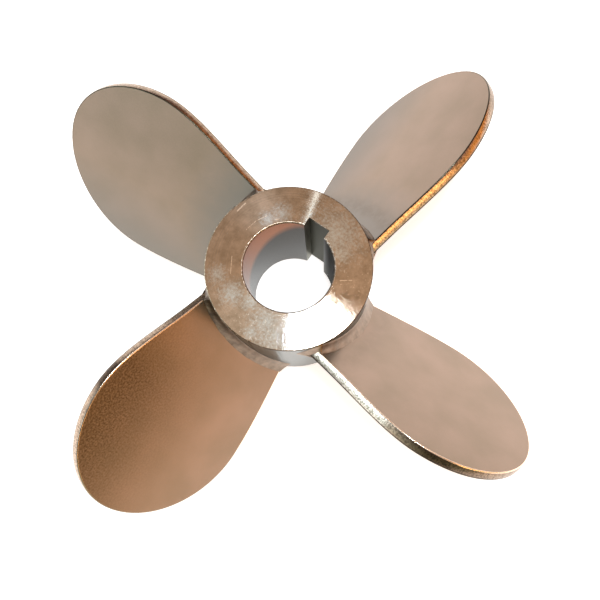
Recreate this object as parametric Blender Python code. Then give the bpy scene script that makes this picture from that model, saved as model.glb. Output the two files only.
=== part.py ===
"""Mixer impeller: a keyed steel hub with four flat pitched blades, fillet welded all round the root.

Metres, +Z up along the hub's axis, +X through the middle of the keyway.
The origin is on the axis, in the hub's lower end face.
"""
import math
from collections import namedtuple

import bmesh
import bpy
from mathutils import Vector

# Hub
HUB_RADIUS = 0.035
HUB_HEIGHT = 0.060
BORE_RADIUS = 0.019
KEYWAY_WIDTH = 0.010
KEYWAY_DEPTH = 0.0033
RIM_ROUND = 0.0008
BORE_CHAMFER = 0.0006
HUB_SIDES = 96
RIM_STEPS = 3

# Blades
BLADE_PITCH = math.radians(50.0)
BLADE_THICKNESS = 0.0045
BLADE_FIRST_AZIMUTH = math.radians(2.6)
BLADE_HEIGHT_ON_HUB = 0.0280
EDGE_BREAK = 0.0006

# The blades were tacked on by hand, so each one stands a little off its even place
Tack = namedtuple("Tack", "azimuth pitch height turn out")
TACKS = [
    Tack(math.radians(-1.5), 0.0, 0.0, math.radians(0.6), 0.0008),
    Tack(math.radians(1.9), math.radians(0.4), 0.0004, math.radians(0.2), 0.0),
    Tack(0.0, math.radians(-0.9), -0.0013, math.radians(0.5), -0.0004),
    Tack(0.0, math.radians(0.4), 0.0, math.radians(-1.0), -0.0002),
]

# Outline of a blade blank, flat: out from the hub's axis, and across, with the raised edge positive.
# Each side is a straight start, a curve to its widest place and a round quarter to the tip.
Flank = namedtuple(
    "Flank",
    "root_across root_slope root_handle widest_out widest_across widest_handle roundness",
)
TIP_OUT = 0.1243
TIP_ACROSS = 0.0163
RAISED = Flank(0.0381, 0.38, 0.0159, 0.0818, 0.0534, 0.0148, 0.563)
LOWERED = Flank(-0.0231, -0.15, 0.0145, 0.0792, -0.0280, 0.0156, 0.541)
CURVE_STEPS = 14
ROOT_STEPS = 12

# Weld fillets: the legs on the faces, and the shorter ones round the two edges of a blade
WELD_LEG = 0.0045
WELD_RAISED_LEG = 0.0028
WELD_LOWERED_LEG = 0.0016
WELD_HOLLOW = 0.35
WELD_RUN_STEPS = 14
WELD_CORNER_STEPS = 4
WELD_SECTION_STEPS = 5

# Clearance that touching pieces keep
GAP = 0.0003

# Smooth shading stops at corners sharper than this
SHARP_ANGLE = math.radians(30.0)

# Rounds of the loops that find where a line on a blade meets the hub's round wall
SETTLE_ROUNDS = 12


def metal(name, color, roughness):
    """A bare metal finish."""
    material = bpy.data.materials.new(name)
    material.use_nodes = True
    shader = material.node_tree.nodes["Principled BSDF"]
    shader.inputs["Base Color"].default_value = (*color, 1.0)
    shader.inputs["Metallic"].default_value = 1.0
    shader.inputs["Roughness"].default_value = roughness
    return material


def add_object(name, mesh, material):
    """One named piece, shaded smooth up to its real corners."""
    mesh.materials.append(material)
    piece = bpy.data.objects.new(name, mesh)
    bpy.context.scene.collection.objects.link(piece)
    mesh.shade_smooth()
    mesh.set_sharp_from_angle(angle=SHARP_ANGLE)
    return piece


def mesh_from_loops(name, loops):
    """A closed mesh lofted through loops of points, with a cap at each end."""
    body = bmesh.new()
    rings = [[body.verts.new(point) for point in loop] for loop in loops]
    for near, far in zip(rings, rings[1:]):
        for k in range(len(near)):
            following = (k + 1) % len(near)
            body.faces.new((near[k], near[following], far[following], far[k]))
    body.faces.new(rings[0])
    body.faces.new(rings[-1])
    bmesh.ops.recalc_face_normals(body, faces=body.faces)
    mesh = bpy.data.meshes.new(name)
    body.to_mesh(mesh)
    body.free()
    return mesh


# Hub: a turned ring with eased rims, and one keyway cut through it

def rim_arc(end_height, inward):
    """Points that round the outer rim of one end face, from the face to the side wall."""
    points = []
    for k in range(RIM_STEPS + 1):
        turn = 0.5 * math.pi * k / RIM_STEPS
        off_side = RIM_ROUND * (1.0 - math.sin(turn))
        off_end = RIM_ROUND * (1.0 - math.cos(turn))
        points.append((HUB_RADIUS - off_side, end_height + inward * off_end))
    return points


def hub_section():
    """The turned section, (radius, height) pairs round one side of the ring."""
    upper = rim_arc(HUB_HEIGHT, -1.0)
    lower = rim_arc(0.0, 1.0)
    bore = [
        (BORE_RADIUS, BORE_CHAMFER),
        (BORE_RADIUS, HUB_HEIGHT - BORE_CHAMFER),
        (BORE_RADIUS + BORE_CHAMFER, HUB_HEIGHT),
    ]
    return [(BORE_RADIUS + BORE_CHAMFER, 0.0), *lower, *reversed(upper), *reversed(bore)]


def make_hub(material):
    body = bmesh.new()
    corners = [body.verts.new((radius, 0.0, height)) for radius, height in hub_section()]
    edges = [body.edges.new((corner, corners[k - 1])) for k, corner in enumerate(corners)]
    bmesh.ops.spin(body, geom=corners + edges, axis=(0.0, 0.0, 1.0), cent=(0.0, 0.0, 0.0),
                   angle=2.0 * math.pi, steps=HUB_SIDES, use_merge=True)
    bmesh.ops.recalc_face_normals(body, faces=body.faces)
    mesh = bpy.data.meshes.new("hub")
    body.to_mesh(mesh)
    body.free()
    hub = add_object("hub", mesh, material)

    keyway_end = BORE_RADIUS + KEYWAY_DEPTH
    bpy.ops.mesh.primitive_cube_add(size=1.0, location=(0.5 * keyway_end, 0.0, 0.5 * HUB_HEIGHT))
    cutter = bpy.context.object
    cutter.name = "keyway_cutter"
    cutter.scale = (keyway_end, KEYWAY_WIDTH, 2.0 * HUB_HEIGHT)
    cutter.hide_render = True
    cutter.display_type = "WIRE"
    cut = hub.modifiers.new("keyway", "BOOLEAN")
    cut.operation = "DIFFERENCE"
    cut.solver = "EXACT"
    cut.object = cutter


# Blade blank: where it stands on the hub, and its flat outline

class BladeFrame:
    """Turns (out, across, above the upper face) on a blade blank into the hub's own coordinates."""

    def __init__(self, number):
        tack = TACKS[number - 1]
        azimuth = BLADE_FIRST_AZIMUTH + 2.0 * math.pi * (number - 1) / len(TACKS) + tack.azimuth
        self.pitch = BLADE_PITCH + tack.pitch
        self.cos_turn = math.cos(tack.turn)
        self.sin_turn = math.sin(tack.turn)
        self.shift = tack.out
        self.centre = Vector((0.0, 0.0, BLADE_HEIGHT_ON_HUB + tack.height))
        self.outward = Vector((math.cos(azimuth), math.sin(azimuth), 0.0))
        clockwise = Vector((math.sin(azimuth), -math.cos(azimuth), 0.0))
        up = Vector((0.0, 0.0, 1.0))
        self.across = math.cos(self.pitch) * clockwise + math.sin(self.pitch) * up
        self.normal = math.cos(self.pitch) * up - math.sin(self.pitch) * clockwise

    def point(self, out, across, above):
        beyond = out - HUB_RADIUS
        out_turned = HUB_RADIUS + beyond * self.cos_turn - across * self.sin_turn + self.shift
        across_turned = beyond * self.sin_turn + across * self.cos_turn
        return self.centre + out_turned * self.outward + across_turned * self.across + above * self.normal

    def wall(self, across, above, off_hub=0.0):
        """How far out on the blank the hub's wall lies, with the clearance and a distance off it."""
        out = HUB_RADIUS
        for _ in range(SETTLE_ROUNDS):
            across_turned = (out - HUB_RADIUS) * self.sin_turn + across * self.cos_turn
            sideways = across_turned * math.cos(self.pitch) - above * math.sin(self.pitch)
            reach = math.sqrt((HUB_RADIUS + GAP) ** 2 - sideways ** 2) + off_hub
            out = HUB_RADIUS + (reach - HUB_RADIUS - self.shift + across * self.sin_turn) / self.cos_turn
        return out


def curve_points(start, start_handle, end_handle, end):
    """Points along one cubic curve, without its last."""
    points = []
    for k in range(CURVE_STEPS):
        u = k / CURVE_STEPS
        v = 1.0 - u
        weights = (v ** 3, 3.0 * v * v * u, 3.0 * v * u * u, u ** 3)
        corners = (start, start_handle, end_handle, end)
        points.append(tuple(sum(w * c[axis] for w, c in zip(weights, corners)) for axis in (0, 1)))
    return points


def flank_points(flank):
    """One side of the outline, from its root towards the tip."""
    root = (HUB_RADIUS, flank.root_across)
    root_handle = (HUB_RADIUS + flank.root_handle, edge_line(flank, HUB_RADIUS + flank.root_handle))
    widest = (flank.widest_out, flank.widest_across)
    widest_handle = (flank.widest_out - flank.widest_handle, flank.widest_across)
    round_out = flank.widest_out + flank.roundness * (TIP_OUT - flank.widest_out)
    round_handle = (round_out, flank.widest_across)
    tip = (TIP_OUT, TIP_ACROSS)
    tip_handle = (TIP_OUT, TIP_ACROSS + flank.roundness * (flank.widest_across - TIP_ACROSS))
    inner = curve_points(root, root_handle, widest_handle, widest)
    outer = curve_points(widest, round_handle, tip_handle, tip)
    return inner + outer


def edge_line(flank, out):
    """The straight line that a flank starts on, which runs on under the weld to the hub."""
    return flank.root_across + flank.root_slope * (out - HUB_RADIUS)


def free_edge():
    """The blank's edge from its raised root corner round the tip to its lowered one."""
    return [*flank_points(RAISED), (TIP_OUT, TIP_ACROSS), *reversed(flank_points(LOWERED))]


def inset(points, depth):
    """An edge moved in by a depth, square to itself."""
    moved = []
    for k, point in enumerate(points):
        before = points[max(k - 1, 0)]
        after = points[min(k + 1, len(points) - 1)]
        along = (after[0] - before[0], after[1] - before[1])
        length = math.hypot(*along)
        moved.append((point[0] + depth * along[1] / length, point[1] - depth * along[0] / length))
    return moved


def root_corner(frame, flank, above, depth):
    """Where the straight start of a flank, moved in by a depth, meets the hub's wall."""
    side = math.copysign(1.0, flank.root_across)
    inward = -side * depth * math.hypot(1.0, flank.root_slope)
    out = HUB_RADIUS
    for _ in range(SETTLE_ROUNDS):
        across = edge_line(flank, out) + inward
        out = frame.wall(across, above)
    return out, across


def blade_loop(frame, above, depth):
    """One closed loop of the blade at a level of its thickness, moved in by a depth."""
    edge = inset(free_edge(), depth)
    raised_corner = root_corner(frame, RAISED, above, depth)
    lowered_corner = root_corner(frame, LOWERED, above, depth)
    flat = [raised_corner, *edge[1:-1], lowered_corner]
    for k in range(1, ROOT_STEPS):
        share = k / ROOT_STEPS
        across = lowered_corner[1] + share * (raised_corner[1] - lowered_corner[1])
        flat.append((frame.wall(across, above), across))
    return [frame.point(out, across, above) for out, across in flat]


def make_blade(name, frame, material):
    """A flat plate whose edges are broken by a small round, here in two flats."""
    mid_break = EDGE_BREAK * (1.0 - math.sqrt(0.5))
    levels = [
        (0.0, EDGE_BREAK),
        (-mid_break, mid_break),
        (-EDGE_BREAK, 0.0),
        (-BLADE_THICKNESS + EDGE_BREAK, 0.0),
        (-BLADE_THICKNESS + mid_break, mid_break),
        (-BLADE_THICKNESS, EDGE_BREAK),
    ]
    loops = [blade_loop(frame, above, depth) for above, depth in levels]
    return add_object(name, mesh_from_loops(name, loops), material)


# Welds: one hollow fillet round the root of each blade, laid as two runs and two ends.
# A station is a share of the way from the lowered edge to the raised one, a level above the upper face,
# a turn from that face's normal, and the length of the fillet's legs there.
Station = namedtuple("Station", "share level turn leg")


def weld_section(leg):
    """The fillet's section: (off the blade, off the hub) pairs, from the root of the weld round."""
    points = [(0.0, 0.0)]
    for k in range(WELD_SECTION_STEPS):
        turn = 0.5 * math.pi * k / (WELD_SECTION_STEPS - 1)
        straight = k / (WELD_SECTION_STEPS - 1)
        off_blade = (1.0 - WELD_HOLLOW) * (1.0 - straight) + WELD_HOLLOW * (1.0 - math.sin(turn))
        off_hub = (1.0 - WELD_HOLLOW) * straight + WELD_HOLLOW * (1.0 - math.cos(turn))
        points.append((leg * off_blade, leg * off_hub))
    return points


def weld_point(frame, station, off_blade, off_hub):
    """A point of the bead, a distance off the blade and a distance off the hub."""
    share, level, turn = station.share, station.level, station.turn
    away = GAP + off_blade
    above = level + away * math.cos(turn)
    out = HUB_RADIUS
    for _ in range(SETTLE_ROUNDS):
        low = edge_line(LOWERED, out)
        high = edge_line(RAISED, out)
        across = low + share * (high - low) + away * math.sin(turn)
        out = frame.wall(across, above, off_hub)
    return frame.point(out, across, above)


def make_weld(name, frame, stations, material):
    loops = []
    for station in stations:
        loops.append([weld_point(frame, station, a, b) for a, b in weld_section(station.leg)])
    return add_object(name, mesh_from_loops(name, loops), material)


def run_stations(level, turn):
    """Stations of a straight run along one face of the blade, short of both corners."""
    end_gap = GAP / (RAISED.root_across - LOWERED.root_across)
    stations = []
    for k in range(WELD_RUN_STEPS + 1):
        share = end_gap + (1.0 - 2.0 * end_gap) * k / WELD_RUN_STEPS
        stations.append(Station(share, level, turn, WELD_LEG))
    return stations


def end_stations(share, side, end_leg):
    """Stations of the weld round one edge of the blade, from its upper face to its lower face."""
    stations = []
    for level, first_turn in ((0.0, 0.0), (-BLADE_THICKNESS, 0.5 * math.pi)):
        for k in range(WELD_CORNER_STEPS + 1):
            turn = first_turn + 0.5 * math.pi * k / WELD_CORNER_STEPS
            leg = WELD_LEG + (end_leg - WELD_LEG) * math.sin(turn)
            stations.append(Station(share, level, side * turn, leg))
    return stations


# Assembly

def build():
    for leftover in list(bpy.data.objects):
        bpy.data.objects.remove(leftover, do_unlink=True)

    turned_steel = metal("turned_steel", (0.62, 0.55, 0.48), 0.28)
    blade_steel = metal("polished_plate", (0.64, 0.52, 0.43), 0.24)
    weld_steel = metal("dressed_weld", (0.50, 0.44, 0.38), 0.34)

    make_hub(turned_steel)
    for number in range(1, len(TACKS) + 1):
        frame = BladeFrame(number)
        make_blade(f"blade_{number}", frame, blade_steel)
        upper_run = run_stations(0.0, 0.0)
        lower_run = run_stations(-BLADE_THICKNESS, math.pi)
        raised_end = end_stations(1.0, 1.0, WELD_RAISED_LEG)
        lowered_end = end_stations(0.0, -1.0, WELD_LOWERED_LEG)
        make_weld(f"weld_upper_{number}", frame, upper_run, weld_steel)
        make_weld(f"weld_lower_{number}", frame, lower_run, weld_steel)
        make_weld(f"weld_raised_end_{number}", frame, raised_end, weld_steel)
        make_weld(f"weld_lowered_end_{number}", frame, lowered_end, weld_steel)


build()
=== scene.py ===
# %% [markdown]
# A mixer impeller, dressed for its picture.
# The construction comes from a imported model, and this lesson gives it the finish of the real thing:
# a turned and plated steel hub, four plates welded to it on edge, and the welds that hold them.

import math

import bmesh
import bpy
from mathutils import Matrix, Quaternion, Vector, noise


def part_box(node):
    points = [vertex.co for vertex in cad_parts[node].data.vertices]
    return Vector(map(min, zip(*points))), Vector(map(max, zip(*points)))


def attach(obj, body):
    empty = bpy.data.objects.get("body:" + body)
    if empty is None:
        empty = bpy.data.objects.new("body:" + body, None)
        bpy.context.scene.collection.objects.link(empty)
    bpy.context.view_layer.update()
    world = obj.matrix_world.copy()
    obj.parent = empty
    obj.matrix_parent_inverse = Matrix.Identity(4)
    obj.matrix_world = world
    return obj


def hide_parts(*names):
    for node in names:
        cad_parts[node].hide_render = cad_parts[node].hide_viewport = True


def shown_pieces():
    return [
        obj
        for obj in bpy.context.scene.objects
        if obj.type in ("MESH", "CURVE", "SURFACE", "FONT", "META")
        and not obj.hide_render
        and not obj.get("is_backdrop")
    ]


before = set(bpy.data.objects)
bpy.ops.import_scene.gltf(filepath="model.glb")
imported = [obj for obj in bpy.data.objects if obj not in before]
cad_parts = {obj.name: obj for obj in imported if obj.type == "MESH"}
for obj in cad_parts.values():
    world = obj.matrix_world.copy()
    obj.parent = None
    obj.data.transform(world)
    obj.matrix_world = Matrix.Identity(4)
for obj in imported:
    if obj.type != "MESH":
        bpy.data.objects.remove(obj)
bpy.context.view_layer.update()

# %% [markdown]
# The picture was taken from nearly straight above, close to the object, so the hub's side hardly shows.
# A camera can be turned by an aim constraint or by hand; here three facts place it: where it stands,
# the point on the hub's upper face that it looks at, and which way is up in the picture.
# All directions after this are given as they look in the picture, counted from its right-hand side.

# %% Place the camera
HUB_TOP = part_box("hub")[1].z
PICTURE_TURN = math.radians(-54.5)
CAMERA_STANDS = Vector((-0.0497, -0.0523, 0.3450))
CAMERA_LOOKS_AT = Vector((-0.00866, -0.01195, HUB_TOP))
CAMERA_LENS = 42.66
PICTURE_UP = math.radians(89.64)


def in_picture(azimuth, elevation, distance=1.0):
    """A vector of a length, from its azimuth in the picture and its elevation, both in degrees."""
    turned = math.radians(azimuth) + PICTURE_TURN
    level = distance * math.cos(math.radians(elevation))
    rise = distance * math.sin(math.radians(elevation))
    return Vector((level * math.cos(turned), level * math.sin(turned), rise))


back = (CAMERA_STANDS - CAMERA_LOOKS_AT).normalized()
up_level = PICTURE_UP + PICTURE_TURN
up = Vector((math.cos(up_level), math.sin(up_level), 0.0))
right = up.cross(back).normalized()
up = back.cross(right)

camera_data = bpy.data.cameras.new("camera")
camera_data.lens = CAMERA_LENS
camera = bpy.data.objects.new("camera", camera_data)
camera.matrix_world = Matrix((
    (right.x, up.x, back.x, CAMERA_STANDS.x),
    (right.y, up.y, back.y, CAMERA_STANDS.y),
    (right.z, up.z, back.z, CAMERA_STANDS.z),
    (0.0, 0.0, 0.0, 1.0),
))
bpy.context.scene.collection.objects.link(camera)
bpy.context.scene.camera = camera
print("camera is", round(1000.0 * (CAMERA_STANDS - CAMERA_LOOKS_AT).length), "mm from the hub")

# %% [markdown]
# Colours are picked as they look on a screen, in hex, while a shader works with linear light.
# One function turns the first into the second, so that every colour below is a plain hex value.
# Another adds a node with its settings and links, so that a material reads as a list of its layers.
# It takes a node's inputs by name or, where they are few, as a list in their own order. A mix's list
# reads: how much of the second, the first, the second.

# %% Helpers for colours and shader nodes
MM = 0.001


def linear(hex_colour):
    """An sRGB hex colour as linear red, green, blue and full alpha."""
    channels = [int(hex_colour[k:k + 2], 16) / 255.0 for k in (1, 3, 5)]
    lit = [c / 12.92 if c <= 0.04045 else ((c + 0.055) / 1.055) ** 2.4 for c in channels]
    return (*lit, 1.0)


def add_node(tree, kind, inputs=(), **settings):
    """Adds one node. Settings are its own choices; inputs are values, hex colours, sockets or nodes."""
    node = tree.nodes.new("ShaderNode" + kind)
    for name, value in settings.items():
        setattr(node, name, value)
    sockets = [s for s in node.inputs if s.enabled]
    if isinstance(inputs, dict):
        sockets = [next(s for s in sockets if name in (s.name, s.identifier)) for name in inputs]
        inputs = inputs.values()
    for socket, value in zip(sockets, inputs):
        if isinstance(value, bpy.types.Node):
            value = next(s for s in value.outputs if s.enabled)
        if isinstance(value, bpy.types.NodeSocket):
            tree.links.new(value, socket)
        else:
            socket.default_value = linear(value) if isinstance(value, str) else value
    return node


def new_material(name):
    """An empty node material, with its tree and the place of every point in its object's own space."""
    material = bpy.data.materials.new(name)
    material.use_nodes = True
    tree = material.node_tree
    tree.nodes.clear()
    return material, tree, add_node(tree, "TexCoord").outputs["Object"]


print("mid grey in linear light:", [round(c, 3) for c in linear("#808080")])

# %% [markdown]
# The floor is a plain pale board that the hub stands on. It is matt and glows of itself, as a light
# table does, so the blades' shadows all but vanish and the metal mirrors an even white.
# A box with walls would have to be hidden from other views, and a curved backdrop only helps one view.
# A single wide face does the same work, because the camera looks down on it from every side.

# %% Floor
FLOOR_SIZE = 6.0
FLOOR_COLOUR = "#f6f5f3"
FLOOR_GLOW = 0.80
# The grain of painted board is about a millimetre; it is drawn at four, and hardly seen
BOARD_GRAIN = 4.0 * MM

floor_mesh = bpy.data.meshes.new("floor")
half = 0.5 * FLOOR_SIZE
floor_corners = [(-half, -half, 0.0), (half, -half, 0.0), (half, half, 0.0), (-half, half, 0.0)]
floor_mesh.from_pydata(floor_corners, [], [(0, 1, 2, 3)])
floor = bpy.data.objects.new("floor", floor_mesh)
bpy.context.scene.collection.objects.link(floor)
floor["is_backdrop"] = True

floor_paint, tree, place = new_material("matt_painted_board")
grain = add_node(tree, "TexNoise", {"Vector": place, "Scale": 1.0 / BOARD_GRAIN, "Detail": 2.0})
relief = add_node(tree, "Bump", {"Height": grain, "Strength": 0.05, "Distance": 0.1 * MM})
paint = add_node(tree, "BsdfPrincipled", {
    "Base Color": FLOOR_COLOUR, "Roughness": 0.8, "Specular IOR Level": 0.2, "Normal": relief,
    "Emission Color": FLOOR_COLOUR, "Emission Strength": FLOOR_GLOW,
})
add_node(tree, "OutputMaterial", [paint])
floor_mesh.materials.append(floor_paint)
print("floor:", FLOOR_SIZE, "m wide, at the hub's lower face")

# %% [markdown]
# Polished metal has hardly a colour of its own: it shows what stands round it. The real one stood in a
# room, warm on one side and cool on the other, so each blade has another tone of the same metal.
# A world of one colour would leave the metal dead. A picture of a room would bring in what isn't the
# part. So the room is four soft walls, each with a colour low down and another higher up, that fade
# into each other with the azimuth and end in a warm ceiling. Only the metal and the floor see it; the
# camera itself sees a plain backdrop of the floor's colour.

# %% Surroundings
# Azimuth in the picture, colour low down and colour above, as they look on a screen
ROOM_WALLS = [
    (0.0, "#fa9f38", "#a07768"),
    (90.0, "#4a2c34", "#937b6a"),
    (180.0, "#dde4e8", "#74808a"),
    (270.0, "#c2c9a5", "#86756f"),
]
CEILING = "#dfbb9c"
ROOM_BRIGHTNESS = 1.3
LOW_ENDS = math.sin(math.radians(14.0))
HIGH_STARTS = math.sin(math.radians(32.0))
WALLS_END = math.sin(math.radians(50.0))
CEILING_STARTS = math.sin(math.radians(72.0))
# A place or a direction, multiplied by this, keeps its level part
LEVEL_PART = (1.0, 1.0, 0.0)

world = bpy.data.worlds.new("soft_room")
bpy.context.scene.world = world
world.use_nodes = True
tree = world.node_tree
tree.nodes.clear()
toward = add_node(tree, "TexCoord").outputs["Generated"]
rise = add_node(tree, "SeparateXYZ", [toward]).outputs["Z"]
along_floor = add_node(tree, "VectorMath", [toward, LEVEL_PART], operation="MULTIPLY")
level_way = add_node(tree, "VectorMath", [along_floor], operation="NORMALIZE")
wall_height = add_node(tree, "MapRange", {"Value": rise, "From Min": LOW_ENDS, "From Max": HIGH_STARTS})
room = None
for azimuth, low_colour, high_colour in ROOM_WALLS:
    facing = add_node(tree, "VectorMath", [level_way, in_picture(azimuth, 0.0)], operation="DOT_PRODUCT")
    ahead = add_node(tree, "Math", [facing, 0.0], operation="MAXIMUM")
    # a squared sine and cosine add up to one, so the shares of two neighbouring walls do too
    share = add_node(tree, "Math", [ahead, 2.0], operation="POWER")
    wall = add_node(tree, "Mix", [wall_height, low_colour, high_colour], data_type="RGBA")
    lit = add_node(tree, "VectorMath", [wall, share], operation="SCALE")
    room = lit if room is None else add_node(tree, "VectorMath", [room, lit])
overhead = add_node(tree, "MapRange", {"Value": rise, "From Min": WALLS_END, "From Max": CEILING_STARTS})
room = add_node(tree, "Mix", [overhead, room, CEILING], data_type="RGBA")
glow = add_node(tree, "Background", [room, ROOM_BRIGHTNESS])
backdrop = add_node(tree, "Background", [FLOOR_COLOUR, 1.0])
seen_directly = add_node(tree, "LightPath").outputs["Is Camera Ray"]
shown = add_node(tree, "MixShader", [seen_directly, glow, backdrop])
add_node(tree, "OutputWorld", [shown])
print("surroundings:", len(ROOM_WALLS), "soft walls and a ceiling")

# %% [markdown]
# The main light is one soft panel nearly straight above, as large as a hand. It lights the floor
# through the bore and lays a white fan on the hub's turned face. A thin strip behind the keyway gives
# the bright band there, and a large faint panel keeps the hub's left side cool.
# A sun lamp would give hard shadows, and a point lamp a small spot on the metal; a panel has a size.
# Two panels low down, out of the camera's sight, light the blades' edges: a white one for the edge at
# the lower right, and an amber one for the edges at the upper right and the lower left. Each stands a
# metre from the hub and faces it.

# %% Soft panels of light
# Azimuth, elevation and turn in degrees, width and length in metres, watts, and colour
PANELS = {
    "overhead_panel": (4.5, 86.4, 0.0, 0.143, 0.143, 6.5, "#edf7ff"),
    "strip_panel": (84.0, 61.0, -16.0, 0.015, 0.30, 0.045, "#e0f4ff"),
    "cool_panel": (170.0, 79.0, 0.0, 0.30, 0.30, 0.10, "#c7f2ff"),
    "white_edge_panel": (198.0, 22.0, 0.0, 0.40, 0.18, 1.6, "#ffffff"),
    "amber_edge_panel": (307.0, 22.0, 0.0, 0.60, 0.16, 1.75, "#ffb265"),
}

for name, (azimuth, elevation, turn, width, length, watts, colour) in PANELS.items():
    data = bpy.data.lights.new(name, "AREA")
    data.shape = "RECTANGLE"
    data.size = width
    data.size_y = length
    data.energy = watts
    data.color = linear(colour)[:3]
    panel = bpy.data.objects.new(name, data)
    away = in_picture(azimuth, elevation)
    panel.location = Vector((0.0, 0.0, HUB_TOP)) + away
    panel.rotation_mode = "QUATERNION"
    spin = Quaternion((0.0, 0.0, 1.0), math.radians(turn))
    panel.rotation_quaternion = away.to_track_quat("Z", "Y") @ spin
    bpy.context.scene.collection.objects.link(panel)
    panel.visible_camera = False
bpy.context.scene.view_settings.view_transform = "Standard"
print("panels:", len(PANELS))

# %% [markdown]
# Every piece here is built from closed loops of points, joined by quads. Modifiers could make some of
# these shapes, but loops put each rounding exactly where it was measured. A few small functions join
# the loops, smooth the faces up to their sharp corners, and keep an amount, such as soot and painted
# shade, on every vertex for a material to read.

# %% Helpers for meshes
def link_piece(name, mesh, materials):
    """A new object of the part, with its materials."""
    for material in materials:
        mesh.materials.append(material)
    piece = bpy.data.objects.new(name, mesh)
    bpy.context.scene.collection.objects.link(piece)
    return piece


def keep_amount(mesh, name, amount_at):
    """Keeps an amount on every vertex of a mesh, worked out from its place, for its material to read."""
    layer = mesh.attributes.new(name, "FLOAT", "POINT")
    layer.data.foreach_set("value", [amount_at(vertex.co) for vertex in mesh.vertices])


def add_ring(body, points):
    """The vertices of one closed loop of points."""
    return [body.verts.new(point) for point in points]


def join_rings(body, near, far, material_index=0):
    """Quads between two loops that have the same number of vertices."""
    for k in range(len(near)):
        following = (k + 1) % len(near)
        face = body.faces.new((near[k], near[following], far[following], far[k]))
        face.material_index = material_index


def finish_mesh(name, body, sharp_degrees=30.0):
    """A mesh from the bmesh, facing outwards, smooth up to its sharp corners."""
    bmesh.ops.recalc_face_normals(body, faces=body.faces)
    mesh = bpy.data.meshes.new(name)
    body.to_mesh(mesh)
    body.free()
    mesh.shade_smooth()
    mesh.set_sharp_from_angle(angle=math.radians(sharp_degrees))
    return mesh


print("helpers: link_piece, keep_amount, add_ring, join_rings, finish_mesh")

# %% [markdown]
# The hub is a short piece of round bar, faced and turned outside, with its rims eased. A cylinder with
# a bevel would give the rims, but not the knocks that handling left on the upper one. So the rounded
# rim is a row of rings, and each point of a ring can be pushed in. A narrow flat ring beside each
# rounding keeps the light on the end face straight right up to the rim.

# %% Hub: outer skin
HUB_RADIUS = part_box("hub")[1].y
RIM_ROUND = 0.35 * MM
RIM_STEPS = 6
FLAT_MARGIN = 0.12 * MM
HUB_SIDES = 360
# A knock pushes the rim down by this share of what it pushes in
KNOCK_DOWN = 0.7

# Small knocks on the upper rim: azimuth in the picture in degrees, depth and width in millimetres
RIM_KNOCKS = [
    (130.3, 0.55, 0.9), (122.5, 0.35, 0.8), (118.0, 0.25, 0.5), (-118.0, 0.25, 0.6), (-97.0, 0.2, 0.5),
]


def rim_knock(azimuth):
    """How far a knock has pushed the upper rim in at an azimuth."""
    push = 0.0
    for knock_azimuth, depth, width in RIM_KNOCKS:
        apart = math.remainder(azimuth - math.radians(knock_azimuth) - PICTURE_TURN, 2.0 * math.pi)
        push += depth * MM * math.exp(-(apart * HUB_RADIUS / (width * MM)) ** 2)
    return push


def hub_rim(upper):
    """The rings of points of one end's rounded rim, from its end face to its side."""
    # each pair is the inset from the side and the inset from the end face
    profile = [(2.0 * (RIM_ROUND + FLAT_MARGIN), 0.0), (RIM_ROUND + FLAT_MARGIN, 0.0)]
    for k in range(RIM_STEPS + 1):
        turn = 0.5 * math.pi * k / RIM_STEPS
        profile.append((RIM_ROUND * (1.0 - math.sin(turn)), RIM_ROUND * (1.0 - math.cos(turn))))
    profile.append((0.0, RIM_ROUND + FLAT_MARGIN))
    rings = []
    for off_side, off_end in profile:
        height = HUB_TOP - off_end if upper else off_end
        ring = []
        for k in range(HUB_SIDES):
            azimuth = 2.0 * math.pi * k / HUB_SIDES
            nearness = max(1.0 - max(off_side, off_end) / (RIM_ROUND + FLAT_MARGIN), 0.0)
            push = rim_knock(azimuth) * nearness if upper else 0.0
            radius = HUB_RADIUS - off_side - push
            ring.append((radius * math.cos(azimuth), radius * math.sin(azimuth), height - KNOCK_DOWN * push))
        rings.append(ring)
    return rings


print("hub:", round(2000.0 * HUB_RADIUS, 1), "mm wide,", round(1000.0 * HUB_TOP, 1), "mm high")

# %% [markdown]
# The bore goes right through, and one keyway was broached along it. A lathe's work can be made by
# spinning a section, but the keyway would then need a cut, which leaves long thin faces. So the bore
# with its keyway is one outline, repeated at each height of its two rounded ends.

# %% Hub: bore and keyway
BORE_RADIUS = 19.0 * MM
BORE_ROUND = 0.6 * MM
BORE_ROUND_STEPS = 5
KEYWAY_WIDTH = 10.0 * MM
KEYWAY_DEPTH = 3.3 * MM
KEYWAY_ROUND = 0.2 * MM
BORE_SIDES = 240


def bore_outline(opened):
    """The bore with its keyway, seen from above; opened is the share of the rounding that widens it."""
    radius = BORE_RADIUS + opened * BORE_ROUND
    half_key = 0.5 * KEYWAY_WIDTH + opened * KEYWAY_ROUND
    key_end = BORE_RADIUS + KEYWAY_DEPTH + opened * KEYWAY_ROUND
    mouth = math.asin(half_key / radius)
    points = []
    for k in range(BORE_SIDES + 1):
        azimuth = mouth + (2.0 * math.pi - 2.0 * mouth) * k / BORE_SIDES
        points.append((radius * math.cos(azimuth), radius * math.sin(azimuth)))
    return points + [(key_end, -half_key), (key_end, half_key)]


def at_height(outline, height):
    return [(x, y, height) for x, y in outline]


print("bore:", 2.0 * BORE_RADIUS / MM, "mm; keyway:", KEYWAY_WIDTH / MM, "by", KEYWAY_DEPTH / MM, "mm")

# %% [markdown]
# The hub's body joins the outer skin and the bore. Each band of faces gets the slot of how it was made:
# turned, reamed, broached or filed. The two end faces are rings with a notch, which no quad grid fits,
# so Blender fills each between its two borders.

# %% Hub: the whole body
FACE, WALL, BORE, KEYWAY, RIM = range(5)
# Flat bands beside each rounding, of the skin and of the bore
SKIN_FLATS = 2
BORE_FLATS = 1


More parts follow.
